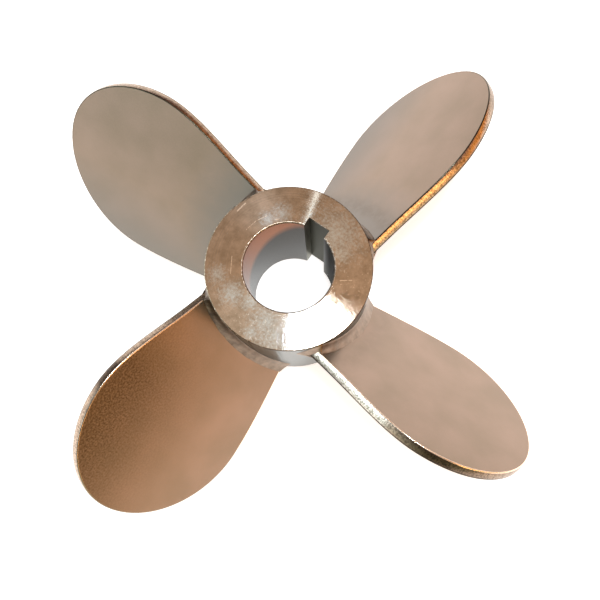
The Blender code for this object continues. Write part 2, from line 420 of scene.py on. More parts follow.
def ring_slot(k, count, flat_rings, rim_rings, between):
    """The slot of the k-th band from the end face: flat bands, then the rim's, then what lies between."""
    from_end = min(k, count - 1 - k)
    if from_end < flat_rings:
        return FACE
    return RIM if from_end < flat_rings + rim_rings else between


def make_hub():
    """The hub's mesh, with a slot for each way in which its faces were made."""
    body = bmesh.new()
    lower = [add_ring(body, ring) for ring in hub_rim(upper=False)]
    upper = [add_ring(body, ring) for ring in hub_rim(upper=True)]
    outside = [*lower, *reversed(upper)]
    for k, (near, far) in enumerate(zip(outside, outside[1:])):
        join_rings(body, near, far, ring_slot(k, len(outside) - 1, SKIN_FLATS, RIM_STEPS, WALL))

    turns = [0.5 * math.pi * k / BORE_ROUND_STEPS for k in range(BORE_ROUND_STEPS + 1)]
    rounding = [(BORE_ROUND * (1.0 - math.cos(turn)), 1.0 - math.sin(turn)) for turn in turns]
    rounding.insert(0, (0.0, 1.0 + FLAT_MARGIN / BORE_ROUND))
    heights = rounding + [(HUB_TOP - off_end, opened) for off_end, opened in reversed(rounding)]
    inside = [add_ring(body, at_height(bore_outline(opened), height)) for height, opened in heights]
    for k, (near, far) in enumerate(zip(inside, inside[1:])):
        join_rings(body, near, far, ring_slot(k, len(inside) - 1, BORE_FLATS, BORE_ROUND_STEPS, BORE))
    body.faces.ensure_lookup_table()
    for face in body.faces:
        centre = face.calc_center_median()
        # on that side, and no further across than the keyway's own walls
        in_keyway = centre.x > 0.97 * BORE_RADIUS and abs(centre.y) < 0.51 * KEYWAY_WIDTH
        if face.material_index == BORE and in_keyway:
            face.material_index = KEYWAY

    for rim_ring, bore_ring in ((lower[0], inside[0]), (upper[0], inside[-1])):
        border = set()
        for ring in (rim_ring, bore_ring):
            border.update(body.edges.get((ring[k - 1], ring[k])) for k in range(len(ring)))
        made = bmesh.ops.triangle_fill(body, edges=list(border), use_beauty=True)
        for item in made["geom"]:
            if isinstance(item, bmesh.types.BMFace):
                item.material_index = FACE
    return finish_mesh("hub_body", body)


hub_mesh = make_hub()
print("hub:", len(hub_mesh.polygons), "faces")

# %% [markdown]
# Four blades stand across the hub at a steep pitch. None stands quite like the next, as if they were
# tacked by hand before welding. One mesh, turned four times, would lose those small errors. So each plate
# has its own matrix: in its own space x runs outwards, y runs across to the raised edge and z stands
# square on the upper face, so that the finish can follow the plate and not the room.

# %% Blade: how the four stand on the hub
BLADE_PITCH = math.radians(50.0)
BLADE_THICKNESS = 4.5 * MM
BLADE_FIRST_AZIMUTH = math.radians(2.6)
BLADE_HEIGHT_ON_HUB = 28.0 * MM
BLADES = 4

# Each blade's small error: azimuth and pitch in degrees, height in mm, turn in degrees, out in mm
TACKS = [
    (-1.5, 0.0, 0.0, 0.6, 0.8),
    (1.9, 0.4, 0.4, 0.2, 0.0),
    (0.0, -0.9, -1.3, 0.5, -0.4),
    (0.0, 0.4, 0.0, -1.0, -0.2),
]


def blade_matrix(number):
    """Where the flat blank of a blade stands."""
    azimuth_off, pitch_off, height_off, turn, out = TACKS[number - 1]
    azimuth = BLADE_FIRST_AZIMUTH + 2.0 * math.pi * (number - 1) / BLADES + math.radians(azimuth_off)
    pitch = BLADE_PITCH + math.radians(pitch_off)
    lift = Matrix.Translation((0.0, 0.0, BLADE_HEIGHT_ON_HUB + height_off * MM))
    aim = Matrix.Rotation(azimuth, 4, "Z")
    # across is clockwise seen from above, so the blank is turned over its own length
    lean = Matrix(((1.0, 0.0, 0.0, 0.0), (0.0, -math.cos(pitch), math.sin(pitch), 0.0),
                   (0.0, math.sin(pitch), math.cos(pitch), 0.0), (0.0, 0.0, 0.0, 1.0)))
    to_root = Matrix.Translation((-HUB_RADIUS, 0.0, 0.0))
    from_root = Matrix.Translation((HUB_RADIUS + out * MM, 0.0, 0.0))
    swing = from_root @ Matrix.Rotation(math.radians(turn), 4, "Z") @ to_root
    return lift @ aim @ lean @ swing


def wall_out(matrix, across, above):
    """How far out on the blank a line along it meets the hub's round wall."""
    start = matrix @ Vector((0.0, across, above))
    step = matrix.to_3x3() @ Vector((1.0, 0.0, 0.0))
    a = step.x ** 2 + step.y ** 2
    b = start.x * step.x + start.y * step.y
    c = start.x ** 2 + start.y ** 2 - HUB_RADIUS ** 2
    return (-b + math.sqrt(b * b - a * c)) / a


print("blades:", BLADES, "at a pitch of", round(math.degrees(BLADE_PITCH)), "degrees")

# %% [markdown]
# A blade is cut from flat plate, so it is drawn flat first. Its outline has two sides. Each starts
# straight from the hub, swells to its widest place and closes in a round quarter at the tip. It could
# be traced with dozens of points, but two curves a side, from a few sizes, give an outline that can be
# changed by hand.

# %% Blade: the flat outline
TIP = (124.3 * MM, 16.3 * MM)
CURVE_STEPS = 44
ROOT_STEPS = 36

# For each side, in mm: where it starts across, its slope, its first handle, the widest place out and
# across, the handle there, and how full the round quarter is
RAISED_SIDE = (38.1, 0.38, 15.9, 81.8, 53.4, 14.8, 0.563)
LOWERED_SIDE = (-23.1, -0.15, 14.5, 79.2, -28.0, 15.6, 0.541)


def side_line(side, out):
    """The straight line that a side starts on."""
    start, slope = side[:2]
    return start * MM + slope * (out - HUB_RADIUS)


def cubic(corners):
    """Points along a cubic curve, without its last."""
    points = []
    for k in range(CURVE_STEPS):
        u = k / CURVE_STEPS
        v = 1.0 - u
        weights = (v ** 3, 3.0 * v * v * u, 3.0 * v * u * u, u ** 3)
        points.append(tuple(sum(w * c[axis] for w, c in zip(weights, corners)) for axis in (0, 1)))
    return points


def side_points(side):
    """One side of the outline, from its root to just short of the tip."""
    first_handle, widest_out, widest_across, widest_handle = (value * MM for value in side[2:6])
    fullness = side[6]
    root = (HUB_RADIUS, side_line(side, HUB_RADIUS))
    leaving = (HUB_RADIUS + first_handle, side_line(side, HUB_RADIUS + first_handle))
    widest = (widest_out, widest_across)
    arriving = (widest_out - widest_handle, widest_across)
    rounding = (widest_out + fullness * (TIP[0] - widest_out), widest_across)
    closing = (TIP[0], TIP[1] + fullness * (widest_across - TIP[1]))
    return cubic((root, leaving, arriving, widest)) + cubic((widest, rounding, closing, TIP))


FREE_EDGE = [*side_points(RAISED_SIDE), TIP, *reversed(side_points(LOWERED_SIDE))]


def moved_in(points, depth):
    """The edge, moved in by a depth, square to itself."""
    moved = []
    for k, (out, across) in enumerate(points):
        before = points[max(k - 1, 0)]
        after = points[min(k + 1, len(points) - 1)]
        along = (after[0] - before[0], after[1] - before[1])
        length = math.hypot(*along)
        moved.append((out + depth * along[1] / length, across - depth * along[0] / length))
    return moved


print("outline:", len(FREE_EDGE), "points")

# %% [markdown]
# The plate's corners were broken by hand and its edge dressed on a belt, which leaves the edge slightly
# crowned. A bevel modifier gives one width for all. Here the corners' width is set blade by blade, as
# the light along them shows, and the crown spreads that light over the edge. The plate is the
# outline repeated through its thickness, closed by two flat faces.

# %% Blade: the plate with its broken edges
# How wide each blade's corners were broken
EDGE_BREAKS = (0.25 * MM, 0.25 * MM, 0.38 * MM, 0.20 * MM)
EDGE_CROWN = 0.22 * MM
EDGE_STEPS = 4
CROWN_STEPS = 8
PLATE, CUT_EDGE = range(2)
# A side slopes and the wall is round, so where they meet is found in rounds, each closer by far
ROUNDS = 8


def crowned(above, depth):
    """A point of the edge's section, set back towards both corners by the belt that dressed it."""
    off_middle = 2.0 * above / BLADE_THICKNESS + 1.0
    return above, depth + EDGE_CROWN * off_middle ** 2


def edge_profile(edge_break):
    """(above, depth) pairs across the edge, from the upper face to the lower one."""
    upper = [(0.0, edge_break + FLAT_MARGIN)]
    for k in range(EDGE_STEPS + 1):
        turn = 0.5 * math.pi * k / EDGE_STEPS
        upper.append((-edge_break * (1.0 - math.cos(turn)), edge_break * (1.0 - math.sin(turn))))
    lower = [(-BLADE_THICKNESS - above, depth) for above, depth in reversed(upper)]
    between = BLADE_THICKNESS - 2.0 * edge_break
    middle = [(-edge_break - between * k / CROWN_STEPS, 0.0) for k in range(1, CROWN_STEPS)]
    return [crowned(above, depth) for above, depth in [*upper, *middle, *lower]]


def root_corner(matrix, side, above, depth):
    """Where a side of the blank, moved in by a depth, meets the hub."""
    inward = -math.copysign(depth * math.hypot(1.0, side[1]), side[0])
    out = HUB_RADIUS
    for _ in range(ROUNDS):
        across = side_line(side, out) + inward
        out = wall_out(matrix, across, above)
    return out, across


def blank_loop(matrix, above, depth):
    """One closed loop round the blank at a level of its thickness."""
    edge = moved_in(FREE_EDGE, depth)
    raised = root_corner(matrix, RAISED_SIDE, above, depth)
    lowered = root_corner(matrix, LOWERED_SIDE, above, depth)
    flat = [raised, *edge[1:-1], lowered]
    for k in range(1, ROOT_STEPS):
        across = lowered[1] + (raised[1] - lowered[1]) * k / ROOT_STEPS
        flat.append((wall_out(matrix, across, above), across))
    return [(out, across, above) for out, across in flat]


def make_blade_mesh(number):
    """The mesh of one blade, in the blade's own space."""
    matrix = blade_matrix(number)
    body = bmesh.new()
    section = edge_profile(EDGE_BREAKS[number - 1])
    rings = [add_ring(body, blank_loop(matrix, above, depth)) for above, depth in section]
    for near, far in zip(rings, rings[1:]):
        join_rings(body, near, far, CUT_EDGE)
    for ring in (rings[0], rings[-1]):
        body.faces.new(ring).material_index = PLATE
    return finish_mesh(f"blade_plate_{number}", body)


blade_meshes = [make_blade_mesh(number) for number in range(1, BLADES + 1)]
print("blades:", [len(mesh.polygons) for mesh in blade_meshes], "faces")

# %% [markdown]
# One weld runs all the way round each blade's root, hollow where plate and hub meet. A swept curve
# would give one section along one path. Here the section turns with the corner of the plate and its
# legs change, so each station of the way round is worked out on its own.

# %% Weld: the way round the root
WELD_LEG = 4.5 * MM
WELD_RAISED_LEG = 2.8 * MM
WELD_LOWERED_LEG = 1.6 * MM
WELD_HOLLOW = 0.35
WELD_SINK = 0.35 * MM
WELD_RUN_STEPS = 110
WELD_CORNER_STEPS = 12
WELD_THICKNESS_STEPS = 8
WELD_SECTION_STEPS = 10


def bead_section():
    """The bead's section for legs of one: (off the plate, off the hub), from toe to toe, hollow between."""
    points = []
    for k in range(WELD_SECTION_STEPS + 1):
        share = k / WELD_SECTION_STEPS
        turn = 0.5 * math.pi * share
        off_plate = (1.0 - WELD_HOLLOW) * (1.0 - share) + WELD_HOLLOW * (1.0 - math.sin(turn))
        off_hub = (1.0 - WELD_HOLLOW) * share + WELD_HOLLOW * (1.0 - math.cos(turn))
        points.append((off_plate, off_hub))
    return points


def bead_stations():
    """(share across, level, turn, leg) all the way round the root of a blade."""
    stations = []

    def corner(share, side, end_leg, backwards):
        turns = []
        for level, first in ((0.0, 0.0), (-BLADE_THICKNESS, 0.5 * math.pi)):
            for k in range(WELD_CORNER_STEPS + 1):
                turns.append((level, first + 0.5 * math.pi * k / WELD_CORNER_STEPS))
            if level == 0.0:
                for k in range(1, WELD_THICKNESS_STEPS):
                    turns.append((-BLADE_THICKNESS * k / WELD_THICKNESS_STEPS, 0.5 * math.pi))
        if backwards:
            turns.reverse()
        for level, turn in turns:
            leg = WELD_LEG + (end_leg - WELD_LEG) * math.sin(turn)
            stations.append((share, level, side * turn, leg))

    for k in range(1, WELD_RUN_STEPS):
        stations.append((k / WELD_RUN_STEPS, 0.0, 0.0, WELD_LEG))
    corner(1.0, 1.0, WELD_RAISED_LEG, backwards=False)
    for k in range(1, WELD_RUN_STEPS):
        stations.append((1.0 - k / WELD_RUN_STEPS, -BLADE_THICKNESS, math.pi, WELD_LEG))
    corner(0.0, -1.0, WELD_LOWERED_LEG, backwards=True)
    return stations


def bead_point(matrix, station, off_plate, off_hub):
    """The point of a station that lies so far off the plate and so far off the hub."""
    share, level, turn, _ = station
    above = level + off_plate * math.cos(turn)
    out = HUB_RADIUS
    for _ in range(ROUNDS):
        low = side_line(LOWERED_SIDE, out)
        high = side_line(RAISED_SIDE, out)
        across = low + share * (high - low) + off_plate * math.sin(turn)
        out = wall_out(matrix, across, above) + off_hub
    return Vector((out, across, above))


print("weld:", len(bead_stations()), "stations round each root")

# %% [markdown]
# The torch leaves a faint ripple along a bead, and dressing it leaves low lumps. Both are only
# hundredths of a millimetre high, but they break up the light all the same. A relief in the material
# would do for one view, but the bead's outline against the hub needs them in the mesh. The sections of
# the stations join in a closed ring, sunk a little into plate and hub, so that no gap shows.

# %% Weld: the bead
RIPPLE_PITCH = 2.1 * MM
RIPPLE_RISE = 0.008 * MM
LUMP_SIZE = 5.0 * MM
LUMP_RISE = 0.03 * MM
# Finer lumps, half as high, come so many times as often
FINER_LUMPS = 2.7
# How far the ripple's middle runs ahead of its ends, in radians
RIPPLE_LEAD = 1.4
# How much of the relief is left at the toes, and how much of it goes each way
TOE_SHARE = 0.35
SWELL_SHARE = 0.7
# The legs grow and shrink by this share over this length
LEG_WANDER = 0.05
WANDER_LENGTH = 4.0 * MM
# Only corners steeper than this, in degrees, stay sharp on a bead
BEAD_SHARP = 60.0
# A share this small of a leg is a toe, which is sunk so that no gap shows
AT_TOE = 0.001


def make_bead_mesh(number):
    """The mesh of one blade's weld, in the blade's own space."""
    matrix = blade_matrix(number)
    body = bmesh.new()
    rings = []
    run = 0.0
    last_root = None
    # so far apart that no two welds have the same lumps
    seed = Vector((7.3 * number, 0.0, 0.0))
    for station in bead_stations():
        root = bead_point(matrix, station, 0.0, 0.0)
        if last_root is not None:
            run += (root - last_root).length
        last_root = root
        leg = station[3]
        ring = []
        for off_plate, off_hub in bead_section():
            # one midway between the toes and nothing at them
            middle = 4.0 * off_plate * off_hub / (off_plate + off_hub + AT_TOE) ** 2
            surface = bead_point(matrix, station, leg * off_plate, leg * off_hub)
            wave = math.sin(2.0 * math.pi * run / RIPPLE_PITCH + RIPPLE_LEAD * middle)
            lumps = noise.noise(surface / LUMP_SIZE + seed)
            lumps += 0.5 * noise.noise(surface * FINER_LUMPS / LUMP_SIZE + seed)
            swell = (RIPPLE_RISE * wave + LUMP_RISE * lumps) * (
                TOE_SHARE + (1.0 - TOE_SHARE) * middle)
            wander = noise.noise(Vector((run / WANDER_LENGTH, 3.0 * number, 0.0)))
            scale = leg * (1.0 + LEG_WANDER * wander)
            sunk_plate = max(scale * off_plate + SWELL_SHARE * swell, 0.0)
            sunk_hub = max(scale * off_hub + SWELL_SHARE * swell, 0.0)
            if off_plate < AT_TOE:
                sunk_plate -= WELD_SINK
            if off_hub < AT_TOE:
                sunk_hub -= WELD_SINK
            ring.append(bead_point(matrix, station, sunk_plate, sunk_hub))
        ring.append(bead_point(matrix, station, -WELD_SINK, -WELD_SINK))
        rings.append(add_ring(body, ring))
    for near, far in zip(rings, rings[1:] + rings[:1]):
        join_rings(body, near, far)
    return finish_mesh(f"weld_bead_{number}", body, BEAD_SHARP)


bead_meshes = [make_bead_mesh(number) for number in range(1, BLADES + 1)]
print("welds:", [len(mesh.polygons) for mesh in bead_meshes], "faces")

# %% [markdown]
# The hub's end faces were turned on a lathe and plated. The tool left fine rings, each with a slanted
# back, so light spreads across the rings and hardly along them: a lamp above shows as a white fan from
# the bore to the rim, and only on the side where the slant turns it to the eye. Real grooves would take
# millions of faces, and a rough metal would show a round spot. So the metal is anisotropic, with its
# tangent round the axis, and a relief that falls outwards by five degrees stands for the slant.

# %% Turned face: places on it, shared by the layers below
FACE_LEAN = math.radians(5.0)

turned_face, tree, place = new_material("turned_plated_steel")
on_face = add_node(tree, "VectorMath", [place, LEVEL_PART], operation="MULTIPLY")
radius = add_node(tree, "VectorMath", [on_face], operation="LENGTH")
way_out = add_node(tree, "VectorMath", [on_face], operation="NORMALIZE")
print("turned rings lean outwards by", round(math.degrees(FACE_LEAN), 1), "degrees")

# %% [markdown]
# Where the warm film on the plating has worn off, soft grey patches show. A noise alone would put them
# anywhere. On the real hub they have places, so each is placed one by one, by its azimuth in the picture,
# its radius and its reach, and a fine noise frays its border.

# %% Turned face: worn patches
# A worn film frays in flecks of about a millimetre
FLECK_SIZE = 1.2 * MM
# Azimuth in the picture in degrees, radius and reach in millimetres
WORN_PATCHES = [
    (-175.0, 29.5, 2.7), (-155.0, 26.0, 3.4), (-137.0, 21.0, 2.8), (-111.0, 24.5, 5.2), (-101.0, 29.4, 7.0),
    (-119.0, 31.0, 2.6), (-90.0, 25.5, 4.6), (35.0, 23.5, 8.2), (14.0, 22.6, 3.2), (96.0, 23.4, 3.0),
    (112.0, 22.4, 2.6),
]
# Each patch is one in its middle and fades out at so many times its reach. The flecks are added with
# their own weight, and the film wears between these two sums
PATCH_FADE = 2.4
FLECK_WEIGHT = 2.4
WEAR_STARTS = 1.45
WORN_OFF = 2.35

ragged = add_node(tree, "TexNoise", {
    "Vector": on_face, "Scale": 1.0 / FLECK_SIZE, "Detail": 4.0, "Roughness": 0.7})
patches = None
for azimuth, distance, reach in WORN_PATCHES:
    centre = in_picture(azimuth, 0.0, distance * MM)
    away = add_node(tree, "VectorMath", [on_face, centre], operation="DISTANCE")
    near = add_node(tree, "MapRange", {
        "Value": away, "From Max": PATCH_FADE * reach * MM, "To Min": 1.0, "To Max": 0.0})
    patches = near if patches is None else add_node(tree, "Math", [patches, near], operation="MAXIMUM")
torn = add_node(tree, "Math", [ragged, FLECK_WEIGHT, patches], operation="MULTIPLY_ADD")
worn = add_node(tree, "MapRange", {"Value": torn, "From Min": WEAR_STARTS, "From Max": WORN_OFF})
print("worn patches:", len(WORN_PATCHES))

# %% [markdown]
# Handling left short bright scratches, and they have their places too. A painted picture could hold
# them. Here each is the distance to a line between two points, so it stays sharp from any nearness.

# %% Turned face: scratches
# Two ends, each an azimuth in the picture and a radius in mm, and a width in mm
SCRATCHES = [
    (112.0, 24.0, 124.0, 24.2, 0.22), (124.0, 24.2, 137.0, 24.0, 0.20), (168.0, 24.0, 186.0, 24.1, 0.22),
    (100.0, 21.0, 104.5, 21.2, 0.35), (-38.5, 27.9, -41.9, 34.7, 0.25), (-16.0, 22.0, -13.0, 26.7, 0.22),
    (123.0, 33.2, 131.0, 32.6, 0.45),
]

scratched = None
for first_azimuth, first_radius, last_azimuth, last_radius, width in SCRATCHES:
    start = in_picture(first_azimuth, 0.0, first_radius * MM)
    reach = in_picture(last_azimuth, 0.0, last_radius * MM) - start
    from_start = add_node(tree, "VectorMath", [on_face, start], operation="SUBTRACT")
    passed = add_node(tree, "VectorMath", [from_start, reach / reach.length_squared], operation="DOT_PRODUCT")
    held = add_node(tree, "Clamp", [passed])
    nearest = add_node(tree, "VectorMath", [reach, held], operation="SCALE")
    away = add_node(tree, "VectorMath", [from_start, nearest], operation="DISTANCE")
    line = add_node(tree, "MapRange", {"Value": away, "From Max": width * MM, "To Min": 1.0, "To Max": 0.0})
    scratched = line if scratched is None else add_node(tree, "Math", [scratched, line], operation="MAXIMUM")
print("scratches:", len(SCRATCHES))

# %% [markdown]
# What the eye gets of a turned face is how it spreads the light. A bump texture of circles alone looks
# like a record. So the relief adds up four heights: the slant of the tool's rings, the rings
# themselves, faint streaks along them, and flecks on the side of the white fan, where glints are painted.

# %% Turned face: relief
# Real feed marks are about 0.1 mm wide, finer than a point of the picture, so the rings are drawn at
# 0.55 mm; their slopes of about three degrees are what the eye gets, and stay real
FEED_MARK = 0.55 * MM
STREAK_WIDTH = 0.9 * MM
# How many times a streak changes in a radian of its way round
STREAK_CHANGES = 1.2
RING_RISE = 0.030 * MM
STREAK_RISE = 0.002 * MM
FLECK_RISE = 0.028 * MM
# The azimuth in the picture of the white fan's side, where the flecks and the painted glints are
# strongest, the cosines of the angles away from it where they start and are whole, and the share of the
# flecks' rise that is left elsewhere
GLINT_SIDE = -70.0
GLINTS_START = 0.1
GLINTS_WHOLE = 0.8
AWAY_FROM_GLINTS_SHARE = 0.15

ring_place = add_node(tree, "CombineXYZ", {"X": radius})
rings = add_node(tree, "TexNoise", {"Vector": ring_place, "Scale": 1.0 / FEED_MARK, "Detail": 1.0})
slow_turn = add_node(tree, "VectorMath", [way_out, STREAK_CHANGES], operation="SCALE")
streak_radius = add_node(tree, "Math", [radius, 1.0 / STREAK_WIDTH], operation="MULTIPLY")
streak_level = add_node(tree, "CombineXYZ", {"Z": streak_radius})
streak_place = add_node(tree, "VectorMath", [slow_turn, streak_level])
streaks = add_node(tree, "TexNoise", {"Vector": streak_place, "Scale": 1.0, "Detail": 3.0})
slant = add_node(tree, "Math", [radius, -math.tan(FACE_LEAN)], operation="MULTIPLY")
ringed = add_node(tree, "Math", [rings, RING_RISE, slant], operation="MULTIPLY_ADD")
streaked = add_node(tree, "Math", [streaks, STREAK_RISE, ringed], operation="MULTIPLY_ADD")
near_side = add_node(tree, "VectorMath", [way_out, in_picture(GLINT_SIDE, 0.0)], operation="DOT_PRODUCT")
fleck_rise = add_node(tree, "MapRange", {
    "Value": near_side, "From Min": GLINTS_START, "From Max": GLINTS_WHOLE,
    "To Min": AWAY_FROM_GLINTS_SHARE * FLECK_RISE, "To Max": FLECK_RISE,
})
flecked = add_node(tree, "Math", [ragged, fleck_rise, streaked], operation="MULTIPLY_ADD")
print("rings every", 1000.0 * FEED_MARK, "mm")

# %% [markdown]
# The filmed plating is a warm light grey with duller clouds of a fingertip's size. Worn patches and
# scratches lie over it, and small near-white points on the fan's side are painted glints. A rough metal
# would blur the fan of light into a spot, so the metal is smooth and fully anisotropic, turned a quarter to
# the rings.
# Every metal here ends with a relief, a metal shader and the output, so one function closes them all.

# %% Turned face: colours and metal
PLATED_STEEL = "#b8ada0"
DULLED_STEEL = "#988d7e"
WORN_STEEL = "#c2d0d8"
# near-white, for the bare scratches and for the painted glints on the fan's side
BARE_SCRATCH_AND_GLINT = "#f0ece4"
CLOUD_SIZE = 7.0 * MM


def close_metal(material, colour, roughness, height, rise, others=None):
    """Ends a metal with its relief, its shader and the output; others are the shader's other inputs."""
    tree = material.node_tree
    relief = add_node(tree, "Bump", {"Height": height, "Strength": 1.0, "Distance": rise})
    inputs = {"Base Color": colour, "Metallic": 1.0, "Roughness": roughness, "Normal": relief}
    add_node(tree, "OutputMaterial", [add_node(tree, "BsdfPrincipled", {**inputs, **(others or {})})])
    print("material:", material.name)


cloud = add_node(tree, "TexNoise", {
    "Vector": on_face, "Scale": 1.0 / CLOUD_SIZE, "Detail": 6.0, "Roughness": 0.7})
dulled_and_shaded = add_node(tree, "MapRange", {"Value": cloud, "From Min": 0.36, "From Max": 0.62})
plated = add_node(tree, "Mix", [dulled_and_shaded, PLATED_STEEL, DULLED_STEEL], data_type="RGBA")
plating = add_node(tree, "Mix", [worn, plated, WORN_STEEL], data_type="RGBA")
broken = add_node(tree, "MapRange", {"Value": ragged, "From Min": 0.38, "From Max": 0.52})
scratches = add_node(tree, "Math", [scratched, broken], operation="MULTIPLY")
# painted glints: small near-white points on the side of the white fan
glint_peaks = add_node(tree, "MapRange", {"Value": ragged, "From Min": 0.61, "From Max": 0.67})
on_glint_side = add_node(tree, "MapRange", {
    "Value": near_side, "From Min": GLINTS_START, "From Max": GLINTS_WHOLE})
painted_glints = add_node(tree, "Math", [glint_peaks, on_glint_side], operation="MULTIPLY")
bare_and_glints = add_node(tree, "Math", [scratches, painted_glints], operation="MAXIMUM")
colour = add_node(tree, "Mix", [bare_and_glints, plating, BARE_SCRATCH_AND_GLINT], data_type="RGBA")
tangent = add_node(tree, "Tangent", direction_type="RADIAL", axis="Z")
# the heights are in metres already, so the relief's own distance is one
close_metal(turned_face, colour, 0.12, flecked, 1.0, {
    "Anisotropic": 1.0, "Anisotropic Rotation": 0.25, "Tangent": tangent})

# %% [markdown]
# The hub's side was turned with a finer feed and left as it came: a satin, dark and cool grey with faint
# level lines. Rings modelled one by one would show no more than a stretched noise does, so a noise that
# is long round the hub and short along its height gives the lines. Other tools' marks differ in size
# and direction alone, so one function draws them all.

# %% Turned side wall
# The lathe's lines are about 0.1 mm apart; they are drawn at 0.5 mm, which a picture can hold
SIDE_LINE = 0.5 * MM
SIDE_LINE_RUN = 25.0 * MM
SIDE_STEEL = "#4a5353"


def tool_marks(tree, place, sizes, detail=2.0):
    """Marks of a tool: a noise with a size of its own along each axis, long where the tool ran."""
    stretched = add_node(tree, "Mapping", {"Vector": place, "Scale": [1.0 / size for size in sizes]})
    return add_node(tree, "TexNoise", {"Vector": stretched, "Scale": 1.0, "Detail": detail})


side_wall, tree, place = new_material("turned_side_steel")
lines = tool_marks(tree, place, (SIDE_LINE_RUN, SIDE_LINE_RUN, SIDE_LINE))
close_metal(side_wall, SIDE_STEEL, 0.3, lines, 0.008 * MM)

# %% [markdown]
# The bore was reamed to size, which leaves a smooth, rather dark wall with fine rings. Its upper part
# carries a painted warm reflection, deeper down on one side, so its border is a slanting plane through the
# bore.
# To the right of the keyway the wall is a painted shade, dark, matt and no metal, in place of its
# bright mirror at a flat angle. Painting by hand could show both; two distances need no picture.

# %% Reamed bore
# A reamer's rings are finer than a point of the picture, so they are drawn at 0.6 mm
BORE_LINE = 0.6 * MM
BORE_LINE_RUN = 1.0 / 30.0
# The painted warm reflection's border: its height on the hub's axis, its slope, the azimuth in the
# picture where it lies lowest, and half the height over which it fades
REFLECTION_STARTS = 49.0 * MM
REFLECTION_SLOPE = 1.0
REFLECTION_SIDE = 190.0
REFLECTION_FADE = 4.0 * MM
# The painted shade's azimuth in the picture, and how far that way it starts and is whole, in radii of the
# bore
BORE_SHADE_SIDE = 0.0
BORE_SHADE_STARTS = 0.75
BORE_SHADE_WHOLE = 0.9
REAMED_STEEL = "#514e4a"
# a painted warm reflection on the upper part of the wall
PAINTED_WARM_REFLECTION = "#a36e53"
# painted shade to the right of the keyway
PAINTED_BORE_SHADE = "#33322d"

reamed_bore, tree, place = new_material("reamed_bore_steel")
lines = tool_marks(tree, place, (BORE_LINE_RUN, BORE_LINE_RUN, BORE_LINE))
up_and_over = in_picture(REFLECTION_SIDE, 0.0, REFLECTION_SLOPE) + Vector((0.0, 0.0, 1.0))
height_on_wall = add_node(tree, "VectorMath", [place, up_and_over], operation="DOT_PRODUCT")
warm_reflection_share = add_node(tree, "MapRange", {
    "Value": height_on_wall, "From Min": REFLECTION_STARTS - REFLECTION_FADE, "From Max": REFLECTION_STARTS + REFLECTION_FADE})
plain = add_node(tree, "Mix", [warm_reflection_share, REAMED_STEEL, PAINTED_WARM_REFLECTION], data_type="RGBA")
toward_bore_shade = add_node(tree, "VectorMath", [place, in_picture(BORE_SHADE_SIDE, 0.0)], operation="DOT_PRODUCT")
bore_shade_share = add_node(tree, "MapRange", {
    "Value": toward_bore_shade, "From Min": BORE_SHADE_STARTS * BORE_RADIUS, "From Max": BORE_SHADE_WHOLE * BORE_RADIUS})
colour = add_node(tree, "Mix", [bore_shade_share, plain, PAINTED_BORE_SHADE], data_type="RGBA")
# the painted shade is matt and no metal
metallic = add_node(tree, "MapRange", {"Value": bore_shade_share, "To Min": 1.0, "To Max": 0.0})
roughness = add_node(tree, "MapRange", {"Value": bore_shade_share, "To Min": 0.22, "To Max": 0.7})
# The wall's mirror is dimmed at a flat angle too, so the tint there is a grey and not white
close_metal(reamed_bore, colour, roughness, lines, 0.004 * MM, {
    "Metallic": metallic, "Specular IOR Level": 0.1, "Specular Tint": "#cccccc"})

# %% [markdown]
# The keyway was broached: a toothed bar was pulled through, so its marks run along the hub's axis. Its
# floor, at the back of the slot, is coloured dark, while its walls are light. A stretched noise gives
# the marks as well as modelled grooves would.

# %% Broached keyway
# Real marks are about 0.2 mm wide; they are drawn at 0.5 mm
BROACH_MARK = 0.5 * MM
BROACH_RUN = 50.0 * MM
FLOOR_FADE = 0.2 * MM
KEYWAY_END = BORE_RADIUS + KEYWAY_DEPTH
KEYWAY_WALLS = "#c4c3b8"
KEYWAY_FLOOR = "#605f56"

broached, tree, place = new_material("broached_keyway_steel")
lines = tool_marks(tree, place, (BROACH_MARK, BROACH_MARK, BROACH_RUN))
deep = add_node(tree, "SeparateXYZ", [place]).outputs["X"]
at_floor = add_node(tree, "MapRange", {
    "Value": deep, "From Min": KEYWAY_END - FLOOR_FADE, "From Max": KEYWAY_END})
colour = add_node(tree, "Mix", [at_floor, KEYWAY_WALLS, KEYWAY_FLOOR], data_type="RGBA")
close_metal(broached, colour, 0.38, lines, 0.010 * MM, {"Specular Tint": "#b8b8b8"})

# %% [markdown]
# The rims of the hub and of its bore were eased with a file by hand. The outer one is coloured dark,
# but lighter on its left side, and the one at the bore stays bright from the shaft.
# All have bare spots where something touched them. Materials of their own could be given to the faces
# of each rim, but the lighter side has no border. Here a short noise switches between a dull and a bare
# colour, and the place says which rim's.

# %% Filed rims
RIM_SPOT = 1.2 * MM
# The bore's rim ends and the outer one starts at these radii
BORE_RIM_ENDS = 26.0 * MM
OUTER_RIM_STARTS = 28.0 * MM
# The lighter side's azimuth in the picture, and how far that way it starts and is whole, in hub radii
LIGHTER_SIDE = 158.0
LIGHTER_STARTS = 0.3
LIGHTER_WHOLE = 0.8
# For each rim, its colour where it is dull and where it is bare
BORE_RIM = ("#857767", "#dcd3c6")
OUTER_RIM = ("#5c4f42", "#a39683")
LIGHTER_RIM = ("#a49b85", "#eee8d6")

